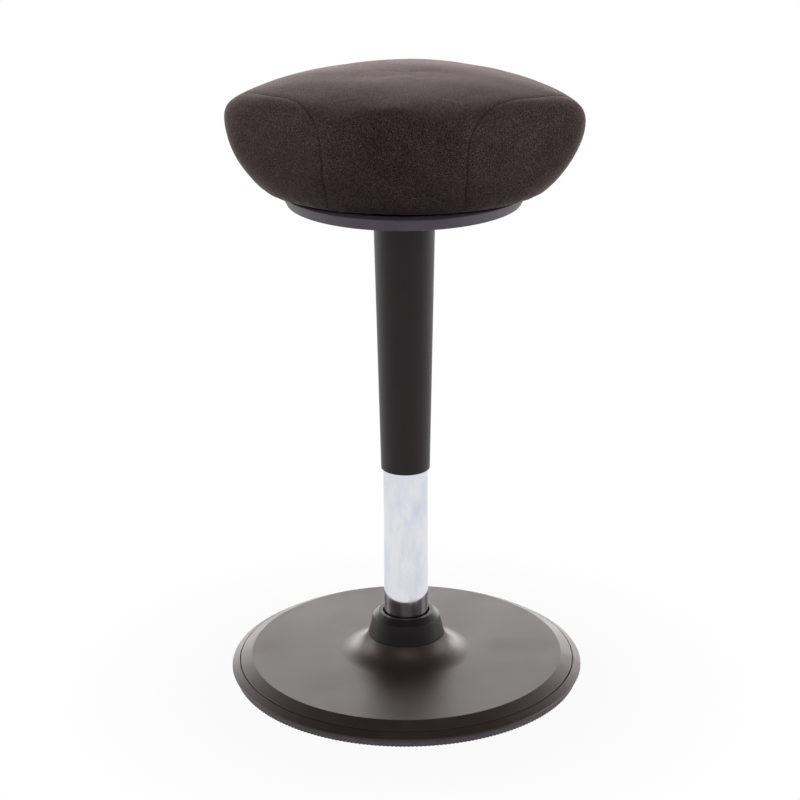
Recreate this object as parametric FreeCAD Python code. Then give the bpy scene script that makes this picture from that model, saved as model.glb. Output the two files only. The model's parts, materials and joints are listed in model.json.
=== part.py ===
"""Wobble stool: a seat on a height-adjustable column that stands in a round foot with a domed sole.

Millimetres, +Z up. The origin is on the floor, on the column's axis. -Y is the front.
The seat is drawn at the middle of its height range.
"""
import FreeCAD, Part
import math
import os

V = FreeCAD.Vector
UP = V(0, 0, 1)
over = 1.0              # holes are cut this much past a face

# Roundings of moulded edges, by radius
edge_fine = 0.4
edge_small = 0.8
edge_soft = 1.5

# Foot
base_r = 199.5          # outer radius of the rim
rim_width = 8.8         # sloping top of the rim
rim_edge = 1.5          # upright edge of the rim
rim_below_disc = 0.5    # inner edge of the rim under the disc's edge
groove = 0.8            # gap between rim and top disc
bevel_width = 13.3      # dark bevel round the top disc
bevel_drop = 6.1
disc_t = 3.0            # wall of the top disc
skirt_h = 4.4           # upright edge of the top disc in the groove
ledge_t = 3.1           # ledge of the tray that the skirt stands on
sole_inset = 4.5        # sole inside the rim
sole_flat_r = 60.0      # flat middle that the stool stands on
sole_curve_r = 560.0    # radius that the sole rolls on
sole_t = 6.0
sole_band = 8.4         # upright band round the sole
tray_t = 3.0            # wall of the tray
rib_t = 3.0
rib_count = 12
rib_min_h = 1.0         # lowest rib under the ballast's edge
rib_start_r = 34.0
ballast_t = 8.0
ballast_gap = 1.5
flare_reach = 30.3      # flare from the disc up to the boot
flare_rise = 22.2
flare_margin = 0.4      # flare stands outside the boot's foot

# Hub and boot
hub_wall = 5.0
hub_flange_r = 75.0
hub_flange_t = 5.0
hub_bolt_inset = 17.0
boot_gap = 1.5          # dark gap round the tube
boot_land = 4.5
boot_bevel_w = 6.8
boot_bevel_h = 5.8
boot_flare = 5.4
boot_h = 22.0
boot_t = 3.0
hub_clear = 1.0

# Column
tube_r = 25.0
tube_wall = 2.0
tube_taper = 1.66       # the foot end narrows by this much in radius
tube_end_t = 4.0
tube_lift = 6.0         # tube end above the tray floor
bush_len = 85.0
bush_flange_t = 3.0
cylinder_r = 14.0
cylinder_wall = 2.0
cylinder_taper = 0.7
rod_r = 5.0
rod_end_r = 4.0
rod_neck_r = 3.5
run_fit = 0.05          # radial clearance of running fits
face_gap = 0.1          # gap between faces that turn on each other
lift_down = 126.0       # travel below the drawn height
lift_up = 128.0         # travel above it
end_gap = 14.0          # tube top to socket at the lowest height
bush_stay = 5.0         # cylinder below the bush at the greatest height
gland_h = 20.0
seal_h = 4.0
piston_h = 12.0
seal_w = 1.6
piston_margin = 8.0
nut_h = 5.0
nut_r = 6.5
rod_above_nut = 1.0

# Bearing at the foot of the rod
washer_t = 1.2
washer_r = 12.0
race_gap = 0.6          # race and cage to the rod
ball_r = 1.75
ball_pitch_r = 8.5
ball_count = 10
cage_t = 1.5
cage_fit = 0.1
bump_h = 12.0
bump_r = 9.5
bump_fit = 0.2
clip_t = 1.2
clip_r = 7.5
clip_groove_r = 3.3
clip_mouth = 4.6
rod_tail = 1.4          # rod below the clip

# Telescopic cover
cover_length = 291.0
cover_gap = 0.6
cover_wall = 1.6
cover_taper = 6.2
cover_flange_t = 2.7

# Seat plate with its well and socket
plate_t = 3.0
plate_edge = 4.0        # plate edge to the fabric's hem
well_r = 40.0
well_t = 3.0
web_t = 3.0
socket_wall = 5.0
socket_below = 18.0
socket_above = 4.0
cylinder_above = 2.0
plate_bolt_inset = 15.0

# Release ring, lever and valve
ring_r = 132.5
ring_h = 13.0
ring_draft = 6.5
ring_t = 2.5
ring_wall = 3.5         # wall of the ring at its top
ring_top_w = 16.0
ring_gap = 2.0          # cushion to ring
ring_hole_gap = 7.0     # well to ring
ring_ear_t = 4.0
ring_ear_h = 9.5
ear_gap = 0.5
lug_t = 5.0
lug_w = 12.0
lug_below = 3.0         # lug below the pin's middle
lug_space = 14.0        # middle of the plate's lugs from the middle
pivot_inset = 10.0
pivot_pin_r = 2.5
pin_head = 1.5
hanger_r = 3.5
hanger_thread_r = 2.5
hanger_head_r = 7.0
hanger_head_h = 3.0
hanger_turn = 22.0      # degrees from the front to each side
hanger_clear = 1.2
soft_gap = 0.3          # small gap between parts that push each other
lever_w = 12.0
lever_t = 6.0
lever_pin_r = 2.0
lever_pin_out = 28.0    # pin in front of the column's axis
lever_above = 0.8       # lever above the ring's floor
lever_nose_w = 6.0
lever_nose_h = 5.0
lever_reach = 8.0
lever_slot_gap = 2.0
valve_r = 3.0
valve_out = 4.0
valve_head_r = 5.0
valve_head_h = 4.0
valve_plug_h = 28.0

# Cushion: each face has a reach from the middle, and a tilt up or down
seat_height = 705.9     # top of the crown above the floor
crown_h = 65.3          # crown above the middle
under_h = 57.6          # middle above the flat underside
dome_x = 228.6
dome_y = 236.4
end_reach = 196.0
end_tilt = -5.6
front_reach = 153.8
front_tilt = -5.5
fall_reach = 151.0      # waterfall at the front and back
fall_tilt = 49.0
corner_reach = 154.1
corner_turn = 45.0      # from the front towards the end
corner_tilt = 9.1
under_reach = 136.4     # cone that draws the underside in
under_tilt = -41.0
under_narrow_x = 0.86   # the cone is longer along X than along Y
under_narrow_y = 1.077
under_spare = 6.0       # the form goes on this far below the flat underside, so that its edge is crisp
softness = 15.0         # high is crisp ridges, low is a soft pebble
skin_t = 2.0            # fabric with its wadding
section_points = 20
section_stations = 9    # from the middle to an end
end_share = 0.995       # last section as a share of the way to the end
section_squash = 0.4    # sections have more points at the sides than above

# Board and its fasteners
board_t = 12.0
board_margin = 17.0     # board's edge inside the foam's underside
board_above_hem = 2.0   # level at which the foam's underside is measured for it
hem_w = 9.0             # fabric turned in under the board
nut_barrel_r = 4.2
nut_start = 3.0         # barrel above the board's underside
nut_flange_r = 9.0
nut_flange_t = 1.5
bolt_r = 3.0
bolt_head_r = 6.0
bolt_head_h = 4.0
bolt_washer_r = 8.0
bolt_washer_t = 1.2
bolt_short = 1.0        # bolt's tip below the board's top
foam_clear = 1.0

# Screws in the foot
screw_r = 2.0
screw_head_r = 4.3
screw_head_h = 3.0
screw_fit = 0.4
socket_share_r = 0.5    # hexagon socket as a share of the head
socket_share_h = 0.6
boss_r = 6.0
boss_below = 1.0        # bosses of the sole's screws below the ballast
sole_screw_below = 2.6
ballast_screw_grip = 6.0
sole_screws = 6
disc_screws = 6
ballast_screws = 3
sole_screw_r = 110.0
head_sink = 0.8
hub_bolts = 4
hub_bolt_r = 4.0
hub_bolt_head_r = 6.5
hub_bolt_head_h = 5.0
hub_boss_r = 10.0


def sole_z(r, wall=0.0):
    """Height of the sole's surface at radius r, or of a surface that much further in."""
    if r <= sole_flat_r:
        return wall
    return sole_curve_r - math.sqrt((sole_curve_r - wall) ** 2 - (r - sole_flat_r) ** 2)


# Levels and radii of the foot that follow from the sizes above
sole_r = base_r - sole_inset
sole_edge_z = sole_z(sole_r)
lip_z = sole_edge_z + sole_band
ledge_z = lip_z + ledge_t
disc_edge_z = ledge_z + skirt_h
disc_z = disc_edge_z + bevel_drop
rim_in_r = base_r - rim_width
bevel_r = rim_in_r - groove
disc_r = bevel_r - bevel_width
tray_out_r = sole_r - sole_t
tray_in_r = tray_out_r - tray_t
floor_wall = sole_t + tray_t
disc_screw_r = disc_r - boss_r - tray_t
ballast_r = disc_screw_r - boss_r - ballast_gap
ballast_in_r = hub_flange_r + ballast_gap
carry_z = sole_z(ballast_r, floor_wall) + rib_min_h

# Levels and radii of the boot and hub
boot_hole_r = tube_r + boot_gap
boot_land_r = boot_hole_r + boot_land
boot_top_r = boot_land_r + boot_bevel_w
boot_foot_r = boot_top_r + boot_flare
boot_foot_z = disc_z + flare_rise
boot_side_z = boot_foot_z + boot_h
boot_top_z = boot_side_z + boot_bevel_h
hub_r = tube_r + hub_wall
hub_top_z = boot_top_z - boot_t - hub_clear
tube_foot_z = floor_wall + tube_lift
tube_in_r = tube_r - tube_wall

# Levels of the seat, from the crown down
seat_mid_z = seat_height - crown_h
cushion_z = seat_mid_z - under_h
foam_z = cushion_z + skin_t
plate_z = foam_z - plate_t
ring_top_z = cushion_z - ring_gap
ring_z = ring_top_z - ring_h
ring_floor_z = ring_z + ring_t
ring_hole_r = well_r + well_t + ring_hole_gap

# Levels of the lever, valve and socket, from the ring's floor down
lever_z = ring_floor_z + lever_above
lever_pin_z = lever_z + lever_t / 2
valve_top_z = lever_z - lever_nose_h - soft_gap
cylinder_top_z = valve_top_z - valve_out
socket_top_z = cylinder_top_z - cylinder_above
well_z = socket_top_z - socket_above - web_t
socket_z = well_z - socket_below

# Levels of the column
tube_top_z = socket_z - lift_down - end_gap
bush_z = tube_top_z - bush_len
cylinder_z = bush_z - lift_up - bush_stay
cylinder_in_r = cylinder_r - cylinder_wall
piston_z = cylinder_z + lift_up + gland_h + seal_h + piston_margin
washer_z = tube_foot_z + tube_end_t
ball_z = washer_z + washer_t + ball_r + cage_fit
upper_washer_z = ball_z + ball_r + cage_fit
shoulder_z = upper_washer_z + washer_t
clip_washer_z = tube_foot_z - face_gap - washer_t
clip_z = clip_washer_z - clip_t
rod_foot_z = clip_z - rod_tail
cover_z = well_z - cover_length
cover_foot_r = tube_r + cover_gap + cover_wall
cover_top_r = cover_foot_r + cover_taper
socket_r = cylinder_r + socket_wall


# Shapes turned, bored and repeated
def rounded(points):
    """The same outline, with an arc at each (r, z, radius) corner between its straight neighbours."""
    outline = []
    for k, point in enumerate(points):
        if len(point) != 3:
            outline.append(point)
            continue
        before, after = points[k - 1], points[(k + 1) % len(points)]
        corner = V(point[0], 0, point[1])
        back = (V(before[0], 0, before[1]) - corner).normalize()
        ahead = (V(after[0], 0, after[1]) - corner).normalize()
        half = back.getAngle(ahead) / 2
        run = point[2] / math.tan(half)
        mid = corner + (back + ahead).normalize() * (point[2] / math.sin(half) - point[2])
        start, stop = corner + back * run, corner + ahead * run
        outline += [(start.x, start.z), (stop.x, stop.z, mid.x, mid.z)]
    return outline


def turned(outline):
    """Solid of revolution about Z.

    A point is (r, z), or (r, z, radius) for a rounded corner, or (r, z, mid_r, mid_z) for an arc to it.
    """
    points = rounded(outline)
    edges = []
    here = V(points[0][0], 0, points[0][1])
    for point in points[1:] + points[:1]:
        there = V(point[0], 0, point[1])
        if len(point) == 4:
            edges.append(Part.Arc(here, V(point[2], 0, point[3]), there).toShape())
        elif (there - here).Length > 1e-6:
            edges.append(Part.LineSegment(here, there).toShape())
        here = there
    face = Part.Face(Part.Wire(edges))
    return face.revolve(V(0, 0, 0), UP, 360)


def disc(r, low, high, x=0.0, y=0.0):
    return Part.makeCylinder(r, high - low, V(x, y, low))


def ring(outer, inner, low, high, x=0.0, y=0.0):
    return disc(outer, low, high, x, y).cut(disc(inner, low - over, high + over, x, y))


def block(x0, x1, y0, y1, z0, z1):
    return Part.makeBox(x1 - x0, y1 - y0, z1 - z0, V(x0, y0, z0))


def rod_x(r, x0, x1, y, z):
    return Part.makeCylinder(r, x1 - x0, V(x0, y, z), V(1, 0, 0))


def on_circle(count, r, start=0.0):
    """Evenly spaced places on a circle."""
    angles = [math.radians(start + 360.0 * k / count) for k in range(count)]
    return [(r * math.cos(a), r * math.sin(a)) for a in angles]


def together(shapes):
    return Part.makeCompound(shapes)


def oval(half_x, half_y, low, high):
    rim = Part.Ellipse(V(0, 0, low), half_x, half_y).toShape()
    return Part.Face(Part.Wire([rim])).extrude(V(0, 0, high - low))


def hexagon(r, low, high, x, y):
    corners = [V(x + px, y + py, low) for px, py in on_circle(6, r)]
    return Part.Face(Part.makePolygon(corners + corners[:1])).extrude(V(0, 0, high - low))


def cap_screw(x, y, head_z, head_r, head_h, shank_r, tip_z):
    """Screw with a socket in its head. The head starts at head_z, and the tip is above or below it."""
    if tip_z > head_z:
        head = disc(head_r, head_z, head_z + head_h, x, y)
        socket = hexagon(head_r * socket_share_r, head_z, head_z + head_h * socket_share_h, x, y)
        return head.fuse(disc(shank_r, head_z + head_h, tip_z, x, y)).cut(socket)
    head = disc(head_r, head_z, head_z + head_h, x, y)
    socket = hexagon(head_r * socket_share_r, head_z + head_h * (1 - socket_share_h), head_z + head_h, x, y)
    return head.fuse(disc(shank_r, tip_z, head_z, x, y)).cut(socket)


def screw_group(places, head_z, head_r, head_h, shank_r, tip_z):
    return together([cap_screw(x, y, head_z, head_r, head_h, shank_r, tip_z) for x, y in places])


# Where the screws of the foot stand
sole_places = on_circle(sole_screws, sole_screw_r, 30.0)
disc_places = on_circle(disc_screws, disc_screw_r)
ballast_places = on_circle(ballast_screws, (ballast_r + ballast_in_r) / 2)
hub_places = on_circle(hub_bolts, hub_flange_r - hub_bolt_inset, 30.0)
sole_head_z = sole_z(sole_screw_r) + head_sink
sole_tip_z = carry_z - sole_screw_below
disc_head_z = sole_z(disc_screw_r + screw_head_r, sole_t) + screw_fit
disc_boss_z = disc_head_z + screw_head_h + tray_t
disc_tip_z = disc_z - disc_t - screw_fit
hub_head_z = sole_t + screw_fit
ballast_top_z = carry_z + ballast_t
ballast_head_z = ballast_top_z - screw_head_h
ballast_tip_z = carry_z - ballast_screw_grip


def sole_pad():
    """Domed rubber sole, a dish that holds the tray."""
    mid = (sole_flat_r + sole_r) / 2
    in_mid = (sole_flat_r + tray_out_r) / 2
    shell = turned([
        (0, 0), (sole_flat_r, 0), (sole_r, sole_edge_z, mid, sole_z(mid)), (sole_r, lip_z),
        (tray_out_r, lip_z), (tray_out_r, sole_z(tray_out_r, sole_t)),
        (sole_flat_r, sole_t, in_mid, sole_z(in_mid, sole_t)), (0, sole_t)])
    for x, y in sole_places:
        shell = shell.cut(disc(screw_head_r + screw_fit, 0, sole_head_z + screw_head_h, x, y))
        shell = shell.cut(disc(screw_r + screw_fit, 0, lip_z, x, y))
    return shell


def tray_filled_to(top_z, reach):
    """Everything inside the sole below a level, out to a radius: what ribs and bosses are cut from."""
    mid = (sole_flat_r + reach) / 2
    return turned([
        (0, sole_t), (sole_flat_r, sole_t), (reach, sole_z(reach, sole_t), mid, sole_z(mid, sole_t)),
        (reach, top_z), (0, top_z)])


def tray_shell():
    mid = (sole_flat_r + tray_out_r) / 2
    in_mid = (sole_flat_r + tray_in_r) / 2
    rim_top_z = disc_edge_z - rim_below_disc
    return turned([
        (0, sole_t), (sole_flat_r, sole_t),
        (tray_out_r, sole_z(tray_out_r, sole_t), mid, sole_z(mid, sole_t)), (tray_out_r, lip_z),
        (base_r, lip_z, edge_fine), (base_r, lip_z + rim_edge, edge_soft), (rim_in_r, rim_top_z, edge_fine),
        (rim_in_r, ledge_z),
        (tray_in_r, ledge_z), (tray_in_r, sole_z(tray_in_r, floor_wall)),
        (sole_flat_r, floor_wall, in_mid, sole_z(in_mid, floor_wall)), (0, floor_wall)])


def base_tray():
    """Moulded tray with the visible rim, ribs for the ballast and bosses for the screws."""
    fill = tray_filled_to(carry_z, ballast_r)
    ribs = []
    for k in range(rib_count):
        rib = block(rib_start_r, ballast_r, -rib_t / 2, rib_t / 2, 0, carry_z)
        rib.rotate(V(0, 0, 0), UP, 360.0 * (k + 0.5) / rib_count)
        ribs.append(rib)
    for x, y in ballast_places:
        ribs.append(disc(boss_r, 0, carry_z, x, y))
    for x, y in sole_places:
        ribs.append(disc(boss_r, 0, carry_z - boss_below, x, y))
    for x, y in hub_places:
        ribs.append(disc(hub_boss_r, 0, carry_z, x, y))
    tray = tray_shell().fuse([rib.common(fill) for rib in ribs])
    outer_fill = tray_filled_to(disc_boss_z, tray_in_r)
    tray = tray.fuse([disc(boss_r, 0, disc_boss_z, x, y).common(outer_fill) for x, y in disc_places])
    for x, y in disc_places:
        tray = tray.cut(disc(screw_head_r + screw_fit, 0, disc_head_z + screw_head_h, x, y))
        tray = tray.cut(disc(screw_r, 0, disc_boss_z + over, x, y))
    for x, y in sole_places:
        tray = tray.cut(disc(screw_r, 0, sole_tip_z, x, y))
    for x, y in ballast_places:
        tray = tray.cut(disc(screw_r, ballast_tip_z, carry_z + over, x, y))
    for x, y in hub_places:
        tray = tray.cut(disc(hub_bolt_head_r + screw_fit, 0, hub_head_z + hub_bolt_head_h, x, y))
        tray = tray.cut(disc(hub_bolt_r, 0, carry_z + over, x, y))
    return tray


def ballast_plate():
    """Steel ring that keeps the foot down."""
    plate = ring(ballast_r, ballast_in_r, carry_z, ballast_top_z)
    for x, y in ballast_places:
        plate = plate.cut(disc(screw_r + screw_fit, carry_z - over, ballast_top_z + over, x, y))
        plate = plate.cut(disc(screw_head_r + screw_fit, ballast_head_z, ballast_top_z + over, x, y))
    return plate


def tube_outline_r(z):
    """Outer radius of the tube, which narrows inside the hub."""
    if z >= hub_top_z:
        return tube_r
    return tube_r - tube_taper * (hub_top_z - z) / (hub_top_z - tube_foot_z)


def base_hub():
    """Flanged hub with the tapered bore that holds the column."""
    low_r = tube_outline_r(carry_z)
    hub = turned([
        (low_r, carry_z), (hub_flange_r, carry_z), (hub_flange_r, carry_z + hub_flange_t),
        (hub_r, carry_z + hub_flange_t), (hub_r, hub_top_z), (tube_r, hub_top_z)])
    for x, y in hub_places:
        hub = hub.cut(disc(hub_bolt_r, carry_z - over, carry_z + hub_flange_t + over, x, y))
    return hub


def top_disc():
    """Cover of the foot: flat top, bevelled edge, and a flare that rises to the boot."""
    foot_r = boot_foot_r + flare_margin
    flare_r = foot_r + flare_reach
    curve = (flare_reach ** 2 + flare_rise ** 2) / (2 * flare_rise)
    centre_z = disc_z + curve
    inner_curve = curve + disc_t
    land_z = boot_foot_z - disc_t
    inner_foot_r = flare_r - math.sqrt(inner_curve ** 2 - (centre_z - land_z) ** 2)
    turn = math.asin(flare_reach / curve) / 2
    in_turn = math.asin((flare_r - inner_foot_r) / inner_curve) / 2
    outer_mid = (flare_r - curve * math.sin(turn), centre_z - curve * math.cos(turn))
    inner_mid = (flare_r - inner_curve * math.sin(in_turn), centre_z - inner_curve * math.cos(in_turn))
    hole_r = hub_r + hub_clear
    skirt_in_r = bevel_r - disc_t
    cover = turned([
        (hole_r, land_z), (inner_foot_r, land_z), (flare_r, disc_z - disc_t) + inner_mid,
        (disc_r, disc_z - disc_t), (skirt_in_r, disc_edge_z - disc_t), (skirt_in_r, ledge_z),
        (bevel_r, ledge_z), (bevel_r, disc_edge_z, edge_small), (disc_r, disc_z, edge_soft), (flare_r, disc_z),
        (foot_r, boot_foot_z) + outer_mid, (hole_r, boot_foot_z)])
    for x, y in disc_places:
        cover = cover.fuse(disc(boss_r, disc_boss_z, disc_z - disc_t / 2, x, y))
        cover = cover.cut(disc(screw_r, disc_boss_z - over, disc_tip_z, x, y))
    return cover


def column_boot():
    """Black collar over the hub, with a land round the tube."""
    inner_top_r = boot_top_r - boot_t
    under_z = boot_top_z - boot_t
    return turned([
        (boot_foot_r - boot_t, boot_foot_z), (boot_foot_r, boot_foot_z, edge_fine),
        (boot_top_r, boot_side_z, edge_soft), (boot_land_r, boot_top_z, edge_soft),
        (boot_hole_r, boot_top_z, edge_small), (boot_hole_r, under_z),
        (boot_land_r, under_z), (inner_top_r, boot_side_z - boot_t)])


def outer_tube():
    """Chromed tube, closed at its foot but for the rod's hole."""
    foot_r = tube_outline_r(tube_foot_z)
    hole_r = rod_end_r + run_fit
    floor_z = tube_foot_z + tube_end_t
    floor_in_r = tube_outline_r(floor_z) - tube_wall
    return turned([
        (hole_r, tube_foot_z), (foot_r, tube_foot_z), (tube_r, hub_top_z), (tube_r, tube_top_z),
        (tube_in_r, tube_top_z), (tube_in_r, hub_top_z), (floor_in_r, floor_z), (hole_r, floor_z)])


def guide_bush():
    """Polymer guide in the mouth of the tube."""
    bore_r = cylinder_r + run_fit
    return turned([
        (bore_r, bush_z), (tube_in_r, bush_z), (tube_in_r, tube_top_z), (tube_r, tube_top_z),
        (tube_r, tube_top_z + bush_flange_t), (bore_r, tube_top_z + bush_flange_t)])


def race_washer(low, hole_r):
    return ring(washer_r, hole_r, low, low + washer_t)


def ball_cage():
    cage = ring(washer_r - cage_fit, rod_end_r + race_gap, ball_z - cage_t / 2, ball_z + cage_t / 2)
    for x, y in on_circle(ball_count, ball_pitch_r):
        cage = cage.cut(disc(ball_r + cage_fit, ball_z - cage_t, ball_z + cage_t, x, y))
    return cage


def thrust_balls():
    places = on_circle(ball_count, ball_pitch_r)
    return together([Part.makeSphere(ball_r, V(x, y, ball_z)) for x, y in places])


def piston_rod():
    """Rod that stands on the bearing. A clip below the tube keeps it down."""
    clip_top_z = clip_z + clip_t
    top_z = piston_z + piston_h + nut_h + rod_above_nut
    return turned([
        (0, rod_foot_z), (rod_end_r, rod_foot_z), (rod_end_r, clip_z), (clip_groove_r, clip_z),
        (clip_groove_r, clip_top_z), (rod_end_r, clip_top_z), (rod_end_r, shoulder_z), (rod_r, shoulder_z),
        (rod_r, piston_z), (rod_neck_r, piston_z), (rod_neck_r, top_z), (0, top_z)])


def piston():
    outer_r = cylinder_in_r - run_fit
    seal_z = piston_z + (piston_h - seal_h) / 2
    body = ring(outer_r, rod_neck_r, piston_z, piston_z + piston_h)
    return body.cut(ring(outer_r + over, outer_r - seal_w, seal_z, seal_z + seal_h))


def piston_seal():
    outer_r = cylinder_in_r - run_fit
    seal_z = piston_z + (piston_h - seal_h) / 2
    return ring(outer_r, outer_r - seal_w, seal_z, seal_z + seal_h)


def piston_nut():
    low = piston_z + piston_h
    return hexagon(nut_r, low, low + nut_h, 0, 0).cut(disc(rod_neck_r, low - over, low + nut_h + over))


def bump_stop():
    """Rubber ring that the cylinder lands on at the lowest height."""
    return ring(bump_r, rod_r + bump_fit, shoulder_z, shoulder_z + bump_h)


def retaining_clip():
    clip = ring(clip_r, clip_groove_r, clip_z, clip_z + clip_t)
    half = clip_mouth / 2
    return clip.cut(block(-half, half, 0, clip_r + over, clip_z - over, clip_z + clip_t + over))


def gas_cylinder():
    """Inner cylinder with a tapered top that wedges into the socket, and a bore for the valve pin."""
    top_r = cylinder_r - cylinder_taper
    plug_z = cylinder_top_z - valve_plug_h
    bore_r = valve_r + run_fit
    return turned([
        (cylinder_in_r, cylinder_z), (cylinder_r, cylinder_z), (cylinder_r, socket_z),
        (top_r, cylinder_top_z), (bore_r, cylinder_top_z), (bore_r, plug_z), (cylinder_in_r, plug_z)])


def valve_pin():
    """Button on top of the cylinder that lets the gas pass when it is pressed."""
    plug_z = cylinder_top_z - valve_plug_h
    head_top_z = plug_z - soft_gap
    return turned([
        (0, head_top_z - valve_head_h), (valve_head_r, head_top_z - valve_head_h),
        (valve_head_r, head_top_z), (valve_r, head_top_z), (valve_r, valve_top_z), (0, valve_top_z)])


def tapered_cover():
    """Black sleeve that hides the telescoping column, hung from the seat plate."""
    flange_z = well_z - cover_flange_t
    hole_r = socket_r + soft_gap
    cover = turned([
        (cover_foot_r - cover_wall, cover_z, edge_fine), (cover_foot_r, cover_z, edge_small), (cover_top_r, well_z),
        (hole_r, well_z), (hole_r, flange_z), (cover_top_r - cover_wall, flange_z)])
    for x, y in cover_places():
        cover = cover.cut(disc(screw_r, flange_z - over, well_z + over, x, y))
    return cover


def cover_places():
    return on_circle(3, (socket_r + cover_top_r - cover_wall) / 2, 90.0)


def socket_bore_r(z):
    """Radius of the cylinder's taper at a height."""
    share = (z - socket_z) / (cylinder_top_z - socket_z)
    return cylinder_r - cylinder_taper * share


# Places that follow from the cushion's underside
def face_reach(x, y, z, inset):
    """How far out a point is in the cushion, 1 being on its surface. z is from the cushion's middle."""
    def facing(nx, ny, turn, tilt, reach):
        c, s = math.cos(math.radians(tilt)), math.sin(math.radians(tilt))
        return ((nx * math.sin(turn) + ny * math.cos(turn)) * c + z * s) / (reach - inset)
    turn = math.radians(corner_turn)
    across, along = abs(x), abs(y)
    rise = max(z, 0) / (crown_h - inset)
    faces = [
        math.sqrt((x / (dome_x - inset)) ** 2 + (y / (dome_y - inset)) ** 2 + rise ** 2),
        facing(across, along, math.pi / 2, end_tilt, end_reach),
        facing(across, along, 0, front_tilt, front_reach),
        facing(across, along, 0, fall_tilt, fall_reach),
        facing(across, along, turn, corner_tilt, corner_reach),
        facing(math.hypot(x * under_narrow_x, y * under_narrow_y), 0, math.pi / 2, under_tilt, under_reach),
        -z / (under_h + under_spare - inset)]
    return sum(max(face, 0) ** softness for face in faces) ** (1 / softness)


def reach_along(x, y, z, dx, dy, dz, inset):
    """Distance from a point inside to the cushion's surface in a direction."""
    near, far = 0.0, 2 * max(end_reach, front_reach)
    for step in range(40):
        mid = (near + far) / 2
        if face_reach(x + dx * mid, y + dy * mid, z + dz * mid, inset) < 1:
            near = mid
        else:
            far = mid
    return near


board_low = skin_t + board_above_hem - under_h
board_y = reach_along(0, 0, board_low, 0, 1, 0, skin_t) - board_margin
board_x = reach_along(0, 0, board_low, 1, 0, 0, skin_t) - board_margin
plate_r = min(board_x, board_y) - hem_w - plate_edge
pivot_y = plate_r - pivot_inset
pivot_z = ring_floor_z + ring_ear_h / 2
bolt_circle_r = plate_r - plate_bolt_inset
plate_bolt_places = on_circle(4, bolt_circle_r, 45.0)
hanger_x = bolt_circle_r * math.sin(math.radians(hanger_turn))
hanger_y = -bolt_circle_r * math.cos(math.radians(hanger_turn))
lever_pin_y = -lever_pin_out
lever_end_y = -(ring_hole_r + lever_reach)


def section(x, inset):
    """Closed outline of the cushion across X, through arcs."""
    points = []
    for k in range(section_points):
        t = 2 * math.pi * k / section_points
        dy, dz = math.cos(t), section_squash * math.sin(t)
        far = reach_along(x, 0, 0, 0, dy, dz, inset)
        points.append(V(x, dy * far, seat_mid_z + dz * far))
    edges = []
    for k in range(0, section_points, 2):
        ends = points[k], points[k + 1], points[(k + 2) % section_points]
        edges.append(Part.Arc(*ends).toShape())
    return Part.Wire(edges)


def cushion_form(inset):
    """The whole cushion as a loft along X, cut flat below. Sections are closer towards the ends."""
    end = reach_along(0, 0, 0, 1, 0, 0, inset) * end_share
    steps = range(-section_stations, section_stations + 1)
    stations = [end * math.sin(math.pi / 2 * k / section_stations) for k in steps]
    form = Part.makeLoft([section(x, inset) for x in stations], True, False)
    floor_z = cushion_z + inset
    return form.cut(block(-end, end, -end, end, floor_z - under_h, floor_z))


def fabric_cover(outer, inner):
    """Sewn cover, open under the board but for its hem."""
    mouth = oval(board_x - hem_w, board_y - hem_w, cushion_z - over, foam_z + over)
    bed = oval(board_x, board_y, foam_z, foam_z + board_t)
    return outer.cut(inner).cut(mouth).cut(bed)


def foam_core(inner):
    """Moulded foam with a bed for the board and pockets for the nuts."""
    top_z = foam_z + board_t
    foam = inner.cut(oval(board_x, board_y, foam_z - over, top_z))
    for x, y in plate_bolt_places:
        pocket_r = nut_flange_r + foam_clear
        foam = foam.cut(disc(pocket_r, top_z - over, top_z + nut_flange_t + foam_clear, x, y))
    return foam


def seat_board():
    """Plywood board that the cushion is built on."""
    top_z = foam_z + board_t
    board = oval(board_x, board_y, foam_z, top_z)
    for x, y in plate_bolt_places:
        board = board.cut(disc(nut_barrel_r, foam_z - over, top_z + over, x, y))
    return board


def board_nuts():
    """Flanged nuts pressed into the board from above."""
    top_z = foam_z + board_t
    nuts = []
    for x, y in plate_bolt_places:
        barrel = disc(nut_barrel_r, foam_z + nut_start, top_z, x, y)
        nut = barrel.fuse(disc(nut_flange_r, top_z, top_z + nut_flange_t, x, y))
        nuts.append(nut.cut(disc(bolt_r, foam_z, top_z + nut_flange_t + over, x, y)))
    return together(nuts)


def plate_bolts():
    """Bolts from below through the plate into the nuts."""
    head_z = plate_z - bolt_washer_t - bolt_head_h
    tip_z = foam_z + board_t - bolt_short
    return screw_group(plate_bolt_places, head_z, bolt_head_r, bolt_head_h, bolt_r, tip_z)


def bolt_washers():
    low = plate_z - bolt_washer_t
    return together([ring(bolt_washer_r, bolt_r, low, plate_z, x, y) for x, y in plate_bolt_places])


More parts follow.
